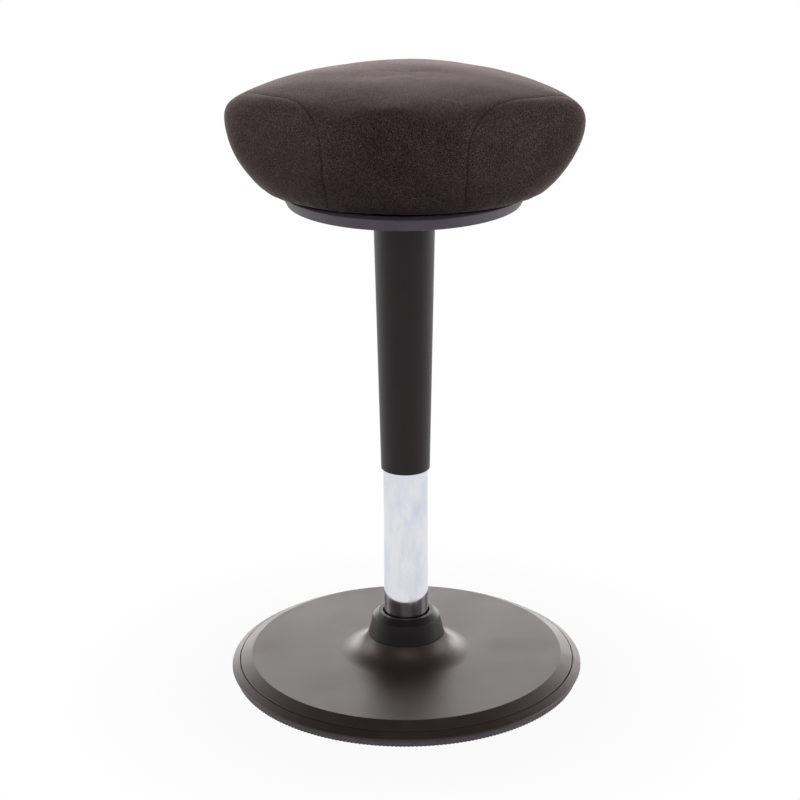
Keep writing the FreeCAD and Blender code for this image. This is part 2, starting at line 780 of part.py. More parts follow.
def seat_plate():
    """Pressed steel plate with a round well, the tapered socket and the lugs of the ring."""
    flange = ring(plate_r, well_r, plate_z, foam_z)
    wall = ring(well_r + well_t, well_r, well_z, foam_z)
    web = ring(well_r + well_t, socket_r - socket_wall / 2, well_z, well_z + web_t)
    socket = turned([
        (socket_bore_r(socket_z), socket_z), (socket_r, socket_z), (socket_r, socket_top_z),
        (socket_bore_r(socket_top_z), socket_top_z)])
    plate = flange.fuse([wall, web, socket])
    for x in (-lug_space, lug_space):
        plate = plate.fuse(block(
            x - lug_t / 2, x + lug_t / 2, pivot_y - lug_w / 2, pivot_y + lug_w / 2,
            pivot_z - lug_below, plate_z + plate_t / 2))
    plate = plate.cut(rod_x(pivot_pin_r, -plate_r, plate_r, pivot_y, pivot_z))
    slot_half = lever_w / 2 + lever_slot_gap
    slot_low = ring_floor_z - lever_slot_gap
    plate = plate.cut(block(-slot_half, slot_half, -well_r - well_t - over, -well_r / 2, slot_low, plate_z))
    plate = plate.cut(rod_x(lever_pin_r, -plate_r, plate_r, lever_pin_y, lever_pin_z))
    for x, y in plate_bolt_places:
        plate = plate.cut(disc(bolt_r, plate_z - over, foam_z + over, x, y))
    for x in (-hanger_x, hanger_x):
        plate = plate.cut(disc(hanger_thread_r, plate_z - over, foam_z + over, x, hanger_y))
    for x, y in cover_places():
        plate = plate.cut(disc(screw_r, well_z - over, well_z + web_t + over, x, y))
    return plate


def cover_screws():
    head_z = well_z - cover_flange_t - screw_head_h
    tip_z = well_z + web_t
    return screw_group(cover_places(), head_z, screw_head_r, screw_head_h, screw_r, tip_z)


def release_ring():
    """Round handle under the seat. Lifting its edge works the valve."""
    foot_r = ring_r - ring_draft
    top_in_r = ring_r - ring_top_w
    body = turned([
        (ring_hole_r, ring_z), (foot_r, ring_z, edge_soft), (ring_r, ring_top_z, edge_small),
        (top_in_r, ring_top_z, edge_fine),
        (top_in_r, ring_top_z - ring_t), (ring_r - ring_wall, ring_top_z - ring_t),
        (foot_r - ring_t, ring_floor_z), (ring_hole_r, ring_floor_z)])
    ear_x = lug_space + lug_t / 2 + ear_gap
    ear_top = ring_floor_z + ring_ear_h
    for side in (-1, 1):
        near, far = sorted((side * ear_x, side * (ear_x + ring_ear_t)))
        body = body.fuse(block(near, far, pivot_y - lug_w / 2, pivot_y + lug_w / 2, ring_z, ear_top))
    body = body.cut(rod_x(pivot_pin_r + run_fit, -plate_r, plate_r, pivot_y, pivot_z))
    for x in (-hanger_x, hanger_x):
        body = body.cut(disc(hanger_r + hanger_clear, ring_z - over, ring_floor_z + over, x, hanger_y))
    return body


def ring_pivot_pin():
    half = lug_space + lug_t / 2 + ear_gap + ring_ear_t + pin_head
    return rod_x(pivot_pin_r, -half, half, pivot_y, pivot_z)


def hanger_screws():
    """Shoulder screws whose heads carry the front of the ring."""
    screws = []
    for x in (-hanger_x, hanger_x):
        head_top = ring_z - soft_gap
        body = disc(hanger_head_r, head_top - hanger_head_h, head_top, x, hanger_y)
        body = body.fuse(disc(hanger_r, head_top, plate_z, x, hanger_y))
        body = body.fuse(disc(hanger_thread_r, plate_z, foam_z, x, hanger_y))
        socket_top = head_top - hanger_head_h * (1 - socket_share_h)
        socket = hexagon(hanger_r, head_top - hanger_head_h, socket_top, x, hanger_y)
        screws.append(body.cut(socket))
    return together(screws)


def release_lever():
    """Rocker on a pin: the ring lifts its outer end, its inner end presses the valve pin."""
    half = lever_w / 2
    nose = lever_nose_w / 2
    lever = block(-half, half, lever_end_y, nose, lever_z, lever_z + lever_t)
    lever = lever.fuse(block(-nose, nose, -nose, nose, valve_top_z + soft_gap, lever_z))
    lever = lever.fuse(block(
        -half, half, lever_end_y, lever_end_y + lever_nose_w, ring_floor_z + soft_gap, lever_pin_z))
    return lever.cut(rod_x(lever_pin_r + run_fit, -half - over, half + over, lever_pin_y, lever_pin_z))


def lever_pin():
    outer = well_r + well_t
    half = math.sqrt(outer ** 2 - lever_pin_y ** 2) + pin_head
    return rod_x(lever_pin_r, -half, half, lever_pin_y, lever_pin_z)


def parts():
    """Every piece by name."""
    outer = cushion_form(0)
    inner = cushion_form(skin_t)
    hub_tip_z = carry_z + hub_flange_t
    return {
        "sole_pad": sole_pad(),
        "sole_screws": screw_group(sole_places, sole_head_z, screw_head_r, screw_head_h, screw_r, sole_tip_z),
        "base_tray": base_tray(),
        "ballast_plate": ballast_plate(),
        "ballast_screws": screw_group(
            ballast_places, ballast_head_z, screw_head_r, screw_head_h, screw_r, ballast_tip_z),
        "base_hub": base_hub(),
        "hub_bolts": screw_group(
            hub_places, hub_head_z, hub_bolt_head_r, hub_bolt_head_h, hub_bolt_r, hub_tip_z),
        "top_disc": top_disc(),
        "disc_screws": screw_group(disc_places, disc_head_z, screw_head_r, screw_head_h, screw_r, disc_tip_z),
        "column_boot": column_boot(),
        "outer_tube": outer_tube(),
        "guide_bush": guide_bush(),
        "lower_race": race_washer(washer_z, rod_end_r + race_gap),
        "ball_cage": ball_cage(),
        "thrust_balls": thrust_balls(),
        "upper_race": race_washer(upper_washer_z, rod_end_r),
        "piston_rod": piston_rod(),
        "piston": piston(),
        "piston_seal": piston_seal(),
        "piston_nut": piston_nut(),
        "bump_stop": bump_stop(),
        "clip_washer": race_washer(clip_washer_z, rod_end_r),
        "retaining_clip": retaining_clip(),
        "gas_cylinder": gas_cylinder(),
        "cylinder_gland": ring(cylinder_in_r, rod_r + run_fit, cylinder_z, cylinder_z + gland_h),
        "rod_seal": ring(cylinder_in_r, rod_r + run_fit, cylinder_z + gland_h, cylinder_z + gland_h + seal_h),
        "valve_pin": valve_pin(),
        "tapered_cover": tapered_cover(),
        "cover_screws": cover_screws(),
        "seat_plate": seat_plate(),
        "plate_bolts": plate_bolts(),
        "bolt_washers": bolt_washers(),
        "seat_board": seat_board(),
        "board_nuts": board_nuts(),
        "foam_core": foam_core(inner),
        "fabric_cover": fabric_cover(outer, inner),
        "release_ring": release_ring(),
        "ring_pivot_pin": ring_pivot_pin(),
        "hanger_screws": hanger_screws(),
        "release_lever": release_lever(),
        "lever_pin": lever_pin(),
    }


os.makedirs("parts", exist_ok=True)
for name, shape in parts().items():
    shape.exportStep("parts/" + name + ".step")
    print(name, len(shape.Solids), "solids, valid:", shape.isValid())
print("ring pivot", round(pivot_y, 3), round(pivot_z, 3), "lever pin", lever_pin_y, round(lever_pin_z, 3))
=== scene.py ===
"""Wobble stool: the finish of every surface and the sewn cushion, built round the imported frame.

Metres, +Z up, the origin on the floor under the column. -Y is the front.
"""
import json
import math

import bmesh
import bpy
import numpy as np
from mathutils import Euler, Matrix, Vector

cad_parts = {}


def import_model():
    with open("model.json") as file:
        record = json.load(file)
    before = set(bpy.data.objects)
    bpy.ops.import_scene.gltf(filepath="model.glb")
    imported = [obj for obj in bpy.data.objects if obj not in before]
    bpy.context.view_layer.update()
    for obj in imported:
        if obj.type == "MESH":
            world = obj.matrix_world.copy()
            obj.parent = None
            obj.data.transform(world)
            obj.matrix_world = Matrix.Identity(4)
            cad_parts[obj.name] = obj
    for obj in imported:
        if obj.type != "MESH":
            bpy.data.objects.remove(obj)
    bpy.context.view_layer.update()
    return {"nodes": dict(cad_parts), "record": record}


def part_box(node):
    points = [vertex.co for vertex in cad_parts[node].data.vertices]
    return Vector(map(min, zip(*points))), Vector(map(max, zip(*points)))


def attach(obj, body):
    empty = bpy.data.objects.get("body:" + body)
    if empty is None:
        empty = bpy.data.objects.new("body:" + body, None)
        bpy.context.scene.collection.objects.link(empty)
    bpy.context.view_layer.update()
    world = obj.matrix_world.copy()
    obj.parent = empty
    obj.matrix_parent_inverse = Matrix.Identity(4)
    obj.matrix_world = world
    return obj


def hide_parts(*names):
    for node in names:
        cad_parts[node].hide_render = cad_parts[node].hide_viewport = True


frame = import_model()
nodes = frame["nodes"]
MM = 0.001

# Camera, as in the photograph
camera_far = 2.394          # from the column's axis, along the floor
camera_high = 1.188
camera_turn = math.radians(4.0)
camera_down = math.radians(19.48)
camera_aside = math.radians(0.137)
camera_roll = math.radians(-0.33)
focal_px = 2300.0
photo_px = 800.0
sensor_mm = 36.0

# Cushion: each face has a reach from the middle, and a tilt up or down
cushion_low, cushion_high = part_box("fabric_cover")
crown_h = 65.3 * MM
under_spare = 6.0 * MM      # the form goes on this far below the flat underside
cushion_mid = cushion_high.z - crown_h
under_h = cushion_mid - cushion_low.z
dome_x = 228.6 * MM
dome_y = 236.4 * MM
end_reach, end_tilt = 196.0 * MM, math.radians(-5.6)
front_reach, front_tilt = 153.8 * MM, math.radians(-5.5)
fall_reach, fall_tilt = 151.0 * MM, math.radians(49.0)
corner_reach, corner_tilt = 154.1 * MM, math.radians(9.1)
under_reach, under_tilt = 136.4 * MM, math.radians(-41.0)
under_narrow_x, under_narrow_y = 0.86, 1.077
softness = 15.0
squash = 0.45               # rays are closer at the sides than above
skin = 1.6 * MM
hem_width = 9.0 * MM
around = 320                # columns of the cover's mesh, an even number
down = 121                  # rows from the crown to the hem, an odd number

# How the cover lies on its foam
start_inset = 0.6 * MM      # the simulation starts from a slightly smaller form
swell_cap = 3.0 * MM        # and moves no point further than this
swell_frames = 20
swell_pressure = 8.0
pin_reach = 4.0 * MM        # points this near to a seam stay in place
crease_depth = 0.4 * MM
crease_half = 3.0 * MM

# Seam from the end's tip along the shoulder and down the front, in the corner where x and y are positive
seam_route = [
    (176, 0, 683), (163, 12, 687), (146, 38, 691), (120, 68, 694), (101, 96, 693), (89, 122, 686),
    (82.5, 138, 675), (79.5, 146, 660), (78, 147, 643), (77, 142, 622), (75, 131, 602), (72, 116, 590),
    (68, 100, 584)]

# Tread round the sole's edge
tread_low_r = 168.0 * MM
tread_ribs = 276
tread_depth = 0.7 * MM
tread_bury = 0.4 * MM       # how far the tread's back and ends lie inside the sole
tread_points = 4            # points round the rim for each rib
sole_flat_r = 60.0 * MM
sole_curve = 560.0 * MM

# Foam
foam_around, foam_down = 160, 60
foam_inset = 4.5 * MM       # inside the cushion's form
bed_fit = 0.5 * MM          # foam to board


# Finishes made of nodes
class Finish:
    """A material, with short calls for the nodes in front of its shader."""

    def __init__(self, name, colour, rough, metal=0.0):
        self.material = bpy.data.materials.new(name)
        self.material.use_nodes = True
        self.tree = self.material.node_tree
        self.shader = self.tree.nodes["Principled BSDF"]
        self.place = self.tree.nodes.new("ShaderNodeTexCoord").outputs["Object"]
        self.put("Base Color", (*colour, 1.0))
        self.put("Roughness", rough)
        self.put("Metallic", metal)

    def put(self, socket, value):
        """A number or colour, or what a node gives, into the shader."""
        if isinstance(value, bpy.types.NodeSocket):
            self.tree.links.new(value, self.shader.inputs[socket])
        else:
            self.shader.inputs[socket].default_value = value
        return self

    def scaled(self, scale):
        """The place on the object, times a scale for each axis."""
        mapping = self.tree.nodes.new("ShaderNodeMapping")
        mapping.inputs["Scale"].default_value = scale
        self.tree.links.new(self.place, mapping.inputs["Vector"])
        return mapping.outputs[0]

    def noise(self, size, detail=3.0, rough=0.5, stretch=(1, 1, 1)):
        """Noise whose grains are about size metres across."""
        node = self.tree.nodes.new("ShaderNodeTexNoise")
        node.inputs["Scale"].default_value = 1.0
        node.inputs["Detail"].default_value = detail
        node.inputs["Roughness"].default_value = rough
        self.tree.links.new(self.scaled([s / size for s in stretch]), node.inputs["Vector"])
        return node.outputs["Fac"]

    def cells(self, size):
        """Round cells about size metres across."""
        node = self.tree.nodes.new("ShaderNodeTexVoronoi")
        node.inputs["Scale"].default_value = 1.0
        self.tree.links.new(self.scaled([1 / size] * 3), node.inputs["Vector"])
        return node.outputs["Distance"]

    def waves(self, pitch, direction):
        """Even straight ridges of the given pitch."""
        node = self.tree.nodes.new("ShaderNodeTexWave")
        node.bands_direction = direction
        node.inputs["Scale"].default_value = math.pi / 10 / pitch
        self.tree.links.new(self.place, node.inputs["Vector"])
        return node.outputs["Fac"]

    def attribute(self, name):
        """A number that the mesh carries at each point."""
        node = self.tree.nodes.new("ShaderNodeAttribute")
        node.attribute_name = name
        return node.outputs["Fac"]

    def bands(self, pitch, direction):
        """Even bands across a direction in space, as a twill shows them on any side of a form."""
        node = self.tree.nodes.new("ShaderNodeVectorMath")
        node.operation = "DOT_PRODUCT"
        self.tree.links.new(self.place, node.inputs[0])
        node.inputs[1].default_value = Vector(direction).normalized() * (2 * math.pi / pitch)
        return self.math("SINE", node.outputs["Value"])

    def math(self, how, a, b=0.0):
        """One step of arithmetic on numbers or on what nodes give."""
        node = self.tree.nodes.new("ShaderNodeMath")
        node.operation = how
        for socket, value in zip(node.inputs, (a, b)):
            if isinstance(value, bpy.types.NodeSocket):
                self.tree.links.new(value, socket)
            else:
                socket.default_value = value
        return node.outputs[0]

    def ramp(self, factor, low, high, start=0.0, stop=1.0):
        """A colour between two, or a number between two."""
        node = self.tree.nodes.new("ShaderNodeMapRange")
        node.inputs["From Min"].default_value = start
        node.inputs["From Max"].default_value = stop
        self.tree.links.new(factor, node.inputs["Value"])
        if not isinstance(low, tuple):
            node.inputs["To Min"].default_value = low
            node.inputs["To Max"].default_value = high
            return node.outputs["Result"]
        mix = self.tree.nodes.new("ShaderNodeMix")
        mix.data_type = "RGBA"
        mix.inputs["A"].default_value = (*low, 1.0)
        mix.inputs["B"].default_value = (*high, 1.0)
        self.tree.links.new(node.outputs["Result"], mix.inputs["Factor"])
        return mix.outputs["Result"]

    def bump(self, height, depth, strength=1.0):
        """Relief of the given depth in metres, on top of any before it."""
        node = self.tree.nodes.new("ShaderNodeBump")
        node.inputs["Distance"].default_value = depth
        node.inputs["Strength"].default_value = strength
        self.tree.links.new(height, node.inputs["Height"])
        before = self.shader.inputs["Normal"].links
        if before:
            self.tree.links.new(before[0].from_socket, node.inputs["Normal"])
        self.tree.links.new(node.outputs[0], self.shader.inputs["Normal"])
        return self


def linear(red, green, blue):
    """A colour given as it is seen on a screen, 0 to 255."""
    return tuple(((c / 255 + 0.055) / 1.055) ** 2.4 if c > 10 else c / 255 / 12.92 for c in (red, green, blue))


def fabric():
    """Brown-black upholstery: a fine twill with paler flecks, a short nap that catches light at the edges, and
    painted shade darkening the tone along the seams' creases.
    """
    f = Finish("seat_fabric", linear(50, 41, 42), 0.95)
    fleck = f.noise(0.85 * MM, 2, 0.7)
    cloud = f.noise(55 * MM, 3, 0.5)
    crease = f.math("ABSOLUTE", f.attribute("seam"))
    tone = f.math("ADD", fleck, f.math("MULTIPLY", cloud, 0.12))
    # painted shade: the tone is darker within 1.6 mm of a seam, standing for the shade in its crease
    tone = f.math("SUBTRACT", tone, f.ramp(crease, 0.08, 0.0, 0.0, 1.6 * MM))
    f.put("Base Color", f.ramp(tone, linear(36, 25, 26), linear(166, 138, 136), 0.52, 0.90))
    f.put("Specular IOR Level", 0.15)
    f.put("Sheen Weight", 0.65)
    f.put("Sheen Roughness", 0.3)
    f.put("Sheen Tint", (*linear(222, 205, 202), 1.0))
    twill = f.math("ADD", f.bands(1.9 * MM, (1, 1, 1)), f.math("MULTIPLY", f.bands(1.3 * MM, (1, 1, -1)), 0.6))
    f.bump(twill, 0.04 * MM, 0.5)
    f.bump(fleck, 0.5 * MM, 0.5)
    return f.bump(f.ramp(crease, 0.0, 1.0, 0.0, 2.2 * MM), 0.3 * MM, 0.7).material


def satin_disc():
    """Fine-grained black plastic of the foot's top."""
    f = Finish("satin_black", linear(38, 32, 32), 0.42)
    grain = f.noise(0.7 * MM, 2)
    cloud = f.noise(60 * MM, 4, 0.6)
    f.put("Base Color", f.ramp(cloud, linear(40, 30, 29), linear(52, 41, 39), 0.3, 0.7))
    f.put("Roughness", f.ramp(cloud, 0.42, 0.50, 0.3, 0.7))
    f.put("Specular IOR Level", 0.6)
    f.put("Specular Tint", (*linear(255, 235, 231), 1.0))
    return f.bump(grain, 0.05 * MM, 0.35).material


def black_plastic():
    """Dull black plastic of the sleeve and boot."""
    f = Finish("black_plastic", linear(28, 22, 22), 0.42)
    grain = f.noise(0.6 * MM, 2)
    cloud = f.noise(50 * MM, 3)
    f.put("Base Color", f.ramp(cloud, linear(24, 19, 18), linear(34, 27, 27), 0.3, 0.7))
    f.put("Roughness", f.ramp(grain, 0.38, 0.47, 0.3, 0.7))
    f.put("Specular IOR Level", 0.3)
    return f.bump(grain, 0.06 * MM, 0.4).material


def grey_plastic():
    """Grey plastic of the release ring."""
    f = Finish("grey_plastic", linear(92, 85, 93), 0.5)
    grain = f.noise(0.6 * MM, 2)
    cloud = f.noise(40 * MM, 3)
    f.put("Base Color", f.ramp(cloud, linear(86, 79, 87), linear(98, 91, 99), 0.3, 0.7))
    f.put("Roughness", f.ramp(grain, 0.45, 0.56, 0.3, 0.7))
    return f.bump(grain, 0.06 * MM, 0.4).material


def rubber(name="sole_rubber", colour=(120, 116, 122)):
    """Matte rubber with a faint cloud in its colour."""
    f = Finish(name, linear(*colour), 0.75)
    cloud = f.noise(18 * MM, 4, 0.6)
    grain = f.noise(0.8 * MM, 2)
    darker = tuple(c * 0.88 for c in colour)
    f.put("Base Color", f.ramp(cloud, linear(*darker), linear(*colour), 0.3, 0.7))
    return f.bump(grain, 0.12 * MM, 0.6).material


def chrome():
    """Polished tube with the faint haze of handling."""
    f = Finish("chromed_tube", linear(236, 237, 242), 0.06, 1.0)
    haze = f.noise(16 * MM, 5, 0.6, (1, 1, 0.4))
    f.put("Roughness", f.ramp(haze, 0.04, 0.16, 0.4, 0.75))
    f.put("Base Color", f.ramp(haze, linear(222, 222, 227), linear(200, 205, 220), 0.45, 0.75))
    return f.material


def turned_steel(name, colour, rough):
    """Steel with the fine rings of turning or brushing."""
    f = Finish(name, linear(*colour), rough, 1.0)
    lines = f.noise(0.5 * MM, 2, 0.6, (0.15, 0.15, 1))
    stain = f.noise(9 * MM, 3)
    f.put("Roughness", f.ramp(lines, rough * 0.8, rough * 1.3, 0.3, 0.7))
    f.put("Base Color", f.ramp(stain, linear(*(c * 0.9 for c in colour)), linear(*colour), 0.3, 0.7))
    return f.bump(lines, 0.02 * MM, 0.4).material


def painted_steel(name, rough):
    """Black paint with a slight orange peel under a thin coat."""
    f = Finish(name, linear(38, 37, 37), rough)
    peel = f.noise(2.5 * MM, 2)
    f.put("Base Color", f.ramp(f.noise(30 * MM), linear(33, 32, 32), linear(43, 42, 42), 0.3, 0.7))
    f.put("Coat Weight", 0.3)
    f.put("Coat Roughness", rough * 0.6)
    return f.bump(peel, 0.05 * MM, 0.5).material


def cast_iron():
    """Rough grey casting."""
    f = Finish("cast_ballast", linear(62, 60, 59), 0.8, 0.3)
    f.put("Base Color", f.ramp(f.noise(12 * MM, 4), linear(50, 48, 47), linear(74, 70, 67), 0.3, 0.7))
    return f.bump(f.noise(1.5 * MM, 4, 0.7), 0.3 * MM, 0.8).material


def white_polymer():
    """Off-white bearing plastic."""
    f = Finish("white_polymer", linear(222, 221, 214), 0.4)
    f.put("Base Color", f.ramp(f.noise(20 * MM), linear(214, 212, 203), linear(228, 227, 222), 0.3, 0.7))
    f.put("Subsurface Weight", 0.1)
    return f.bump(f.noise(0.5 * MM), 0.03 * MM, 0.4).material


def plywood():
    """Beech plies: grain along X, and the plies' lines on the edge."""
    f = Finish("plywood", linear(190, 155, 112), 0.6)
    grain = f.noise(2.5 * MM, 5, 0.6, (0.06, 1, 1))
    plies = f.waves(3.0 * MM, "Z")
    tone = f.math("ADD", f.math("MULTIPLY", grain, 0.7), f.math("MULTIPLY", plies, 0.3))
    f.put("Base Color", f.ramp(tone, linear(160, 122, 82), linear(208, 176, 134), 0.25, 0.75))
    return f.bump(grain, 0.1 * MM, 0.5).material


def foam():
    """Pale moulded foam with open pores, with painted shade darkening the colour in each pore's hollow."""
    f = Finish("foam", linear(226, 214, 176), 0.95)
    pores = f.cells(1.6 * MM)
    # painted shade: the colour is darker towards the middle of each pore, where the bump makes a hollow
    f.put("Base Color", f.ramp(pores, linear(206, 190, 148), linear(232, 221, 186), 0.0, 0.6))
    return f.bump(pores, 0.4 * MM, 0.8).material


finishes = {
    "sole_rubber": rubber(),
    "zinc_steel": turned_steel("zinc_steel", (188, 190, 194), 0.32),
    "black_plastic": black_plastic(),
    "satin_black": satin_disc(),
    "cast_ballast": cast_iron(),
    "black_steel": painted_steel("black_steel", 0.4),
    "chromed_tube": chrome(),
    "white_polymer": white_polymer(),
    "bearing_steel": turned_steel("bearing_steel", (205, 206, 210), 0.18),
    "seal_rubber": rubber("seal_rubber", (34, 33, 34)),
    "cylinder_black": painted_steel("cylinder_black", 0.22),
    "plywood": plywood(),
    "foam": foam(),
    "seat_fabric": fabric(),
    "grey_plastic": grey_plastic(),
}


def finish_cad_nodes():
    """Every carried-over node takes the finish of its slot."""
    slot_of = {part["node"]: part["material_slot"] for part in frame["record"]["subparts"]}
    for name, node in nodes.items():
        node.data.materials.clear()
        node.data.materials.append(finishes[slot_of[name]])


# Meshes
def new_piece(name, verts, faces, slot, body):
    """A smooth mesh piece that rides on a body and takes its slot's finish."""
    mesh = bpy.data.meshes.new(name)
    mesh.from_pydata([tuple(v) for v in verts], [], faces)
    form = bmesh.new()
    form.from_mesh(mesh)
    bmesh.ops.recalc_face_normals(form, faces=form.faces)
    form.to_mesh(mesh)
    form.free()
    mesh.polygons.foreach_set("use_smooth", [True] * len(mesh.polygons))
    piece = bpy.data.objects.new(name, mesh)
    bpy.context.scene.collection.objects.link(piece)
    mesh.materials.append(finishes[slot])
    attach(piece, body)
    return piece


def grid_faces(rows, columns):
    """Faces between the rows of a grid that goes right round."""
    faces = []
    for row in range(rows - 1):
        for k in range(columns):
            a, b = row * columns + k, row * columns + (k + 1) % columns
            faces.append((a, a + columns, b + columns, b))
    return faces


def capped(grid):
    """Points and faces of a grid whose first row is a single point, such as the crown."""
    rows, columns = grid.shape[:2]
    verts = np.vstack([grid[0, :1], grid[1:].reshape(-1, 3)])
    fan = [(0, 1 + k, 1 + (k + 1) % columns) for k in range(columns)]
    sides = [tuple(i + 1 for i in face) for face in grid_faces(rows - 1, columns)]
    return verts, fan + sides


def capped_values(values):
    """The values of a grid in the order of its capped points."""
    return np.concatenate([values[0, :1], values[1:].ravel()])


# Cushion
def outward_share(points, inset):
    """How far out points are in the cushion, 1 being on its surface."""
    x, y, z = np.abs(points[..., 0]), np.abs(points[..., 1]), points[..., 2]

    def facing(across, tilt, reach):
        return (across * math.cos(tilt) + z * math.sin(tilt)) / (reach - inset)

    dome = np.sqrt((x / (dome_x - inset)) ** 2 + (y / (dome_y - inset)) ** 2
                   + (np.maximum(z, 0) / (crown_h - inset)) ** 2)
    faces = [
        dome, facing(x, end_tilt, end_reach), facing(y, front_tilt, front_reach), facing(y, fall_tilt, fall_reach),
        facing((x + y) * math.sqrt(0.5), corner_tilt, corner_reach),
        facing(np.hypot(x * under_narrow_x, y * under_narrow_y), under_tilt, under_reach),
        -z / (under_h + under_spare - inset)]
    return sum(np.maximum(face, 0) ** softness for face in faces) ** (1 / softness)


def on_surface(points, inset=0.0):
    """The points moved out from the middle, or in, to the surface."""
    for _ in range(1 if inset == 0 else 8):
        points = points / outward_share(points, inset)[..., None]
    return points


def smooth_route(points, steps=24):
    """A smooth line through the points."""
    p = np.array([points[0], *points, points[-1]], float)
    t = np.linspace(0, 1, steps, endpoint=False)[:, None]
    line = []
    for k in range(1, len(p) - 2):
        a, b, c, d = p[k - 1], p[k], p[k + 1], p[k + 2]
        line.append(0.5 * (2 * b + (c - a) * t + (2 * a - 5 * b + 4 * c - d) * t ** 2
                           + (3 * b - a - 3 * c + d) * t ** 3))
    return np.vstack([*line, p[-1:]])


def seam_distance(points):
    """Distance of each point to the nearest seam, below 0 on the end panels. The four seams are mirror images."""
    folded = np.abs(points) * (1, 1, 0) + points * (0, 0, 1)
    line = on_surface(smooth_route(seam_route) * MM - (0, 0, cushion_mid))
    best = np.full(len(folded), 1e9)
    side = np.ones(len(folded))
    for start, stop in zip(line[:-1], line[1:]):
        along = stop - start
        share = np.clip((folded - start) @ along / (along @ along), 0, 1)
        offset = folded - start - share[:, None] * along
        far = np.linalg.norm(offset, axis=1)
        nearer = far < best
        best[nearer] = far[nearer]
        side[nearer] = np.sign(np.cross(along, offset[nearer]) @ start)
    return best * side


def cushion_grid(columns, rows, inset, mouth_x, mouth_y):
    """Points of the surface from the crown down to an oval mouth below, and all round."""
    turn = np.linspace(0, 2 * math.pi, columns, endpoint=False)
    coarse = np.linspace(0, math.pi, 600)
    lines = []
    for angle in turn:
        ray = np.stack([np.sin(coarse) * math.cos(angle), np.sin(coarse) * math.sin(angle),
                        squash * np.cos(coarse)], axis=1)
        line = on_surface(ray, inset)
        inside = (line[:, 0] / mouth_x) ** 2 + (line[:, 1] / mouth_y) ** 2 < 1
        line = line[:np.argmax(inside & (line[:, 2] < 0)) + 1]
        length = np.concatenate([[0], np.cumsum(np.linalg.norm(np.diff(line, axis=0), axis=1))])
        want = np.linspace(0, length[-1], rows)
        lines.append(np.stack([np.interp(want, length, line[:, k]) for k in range(3)], axis=1))
    return on_surface(np.array(lines).transpose(1, 0, 2), inset)


def surface_normals(grid):
    """Outward normals of a closed grid."""
    across = np.roll(grid, -1, axis=1) - np.roll(grid, 1, axis=1)
    along = np.gradient(grid, axis=0)
    normal = np.cross(along, across)
    normal /= np.linalg.norm(normal, axis=2, keepdims=True) + 1e-12
    normal[0] = (0, 0, 1)
    return normal


def swollen(grid, distance):
    """How far the cover swells between its seams, from a cloth simulation of every second row and column."""
    still = np.abs(distance) < pin_reach
    still[-3:] = True
    coarse = grid[::2, ::2]
    verts, faces = capped(coarse)
    mesh = bpy.data.meshes.new("swell")
    mesh.from_pydata([tuple(v) for v in verts], [], faces)
    piece = bpy.data.objects.new("swell", mesh)
    bpy.context.scene.collection.objects.link(piece)
    pins = piece.vertex_groups.new(name="still")
    pins.add([int(k) for k in np.flatnonzero(capped_values(still[::2, ::2]))], 1.0, "REPLACE")
    cloth = piece.modifiers.new("cloth", "CLOTH")
    cloth.settings.effector_weights.gravity = 0
    cloth.settings.use_pressure = True
    cloth.settings.uniform_pressure_force = swell_pressure
    cloth.settings.vertex_group_mass = "still"
    cloth.point_cache.frame_start, cloth.point_cache.frame_end = 1, swell_frames
    scene = bpy.context.scene
    for frame_number in range(1, swell_frames + 1):
        scene.frame_set(frame_number)
    final = piece.evaluated_get(bpy.context.evaluated_depsgraph_get()).to_mesh()
    moved = np.zeros(len(final.vertices) * 3)
    final.vertices.foreach_get("co", moved)
    bpy.data.objects.remove(piece)
    bpy.data.meshes.remove(mesh)
    scene.frame_set(1)
    rows, columns = coarse.shape[:2]
    moved = moved.reshape(-1, 3)
    end = np.vstack([np.repeat(moved[:1], columns, axis=0), moved[1:]]).reshape(rows, columns, 3)
    out = np.clip(((end - coarse) * surface_normals(coarse)).sum(axis=2), 0, None)
    out = swell_cap * (1 - np.exp(-out / swell_cap))
    return refined(refined(out, 0)[:-1], 1)


def refined(values, axis):
    """Twice as many values along an axis, with the new ones halfway to the next."""
    between = (values + np.roll(values, -1, axis=axis)) / 2
    shape = list(values.shape)
    shape[axis] *= 2
    return np.stack([values, between], axis=axis + 1).reshape(shape)


def slack(points):
    """Faint hollows and folds of a cover that is drawn over foam, with small gathers near the hem."""
    x, y, z = np.moveaxis(points, -1, 0)
    folds = 0.3 * MM * (np.sin(x * 41 + 3 * np.sin(y * 23)) * np.cos(y * 37 + 2 * np.sin(z * 31))
                        + 0.6 * np.sin(z * 67 + x * 29 + y * 17))
    turn = np.arctan2(y, x)
    low = np.clip((-z - 0.040) / 0.018, 0, 1)
    return folds + 0.25 * MM * low * np.sin(turn * 44 + 1.5 * np.sin(turn * 5))


def cushion_cover():
    """The sewn cover over its foam."""
    low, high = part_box("seat_board")
    grid = cushion_grid(around, down, 0.0, high.x - hem_width, high.y - hem_width)
    distance = seam_distance(grid.reshape(-1, 3)).reshape(down, around)
    out = swollen(grid, distance) - start_inset
    out -= crease_depth * np.exp(-(distance / crease_half) ** 2)
    outer = grid + surface_normals(grid) * (out + slack(grid))[..., None]
    outer[0] = outer[0].mean(axis=0)
    outer[..., 2] = np.maximum(outer[..., 2], cushion_low.z - cushion_mid)
    verts, faces = capped(outer + (0, 0, cushion_mid))
    piece = new_piece("cushion_cover", verts, faces, "seat_fabric", "seat")
    seam = piece.data.attributes.new("seam", "FLOAT", "POINT")
    seam.data.foreach_set("value", capped_values(distance).astype(np.float32))
    shell = piece.modifiers.new("thickness", "SOLIDIFY")
    shell.thickness = skin
    shell.offset = -1.0
    shell.use_rim = True
    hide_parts("fabric_cover")


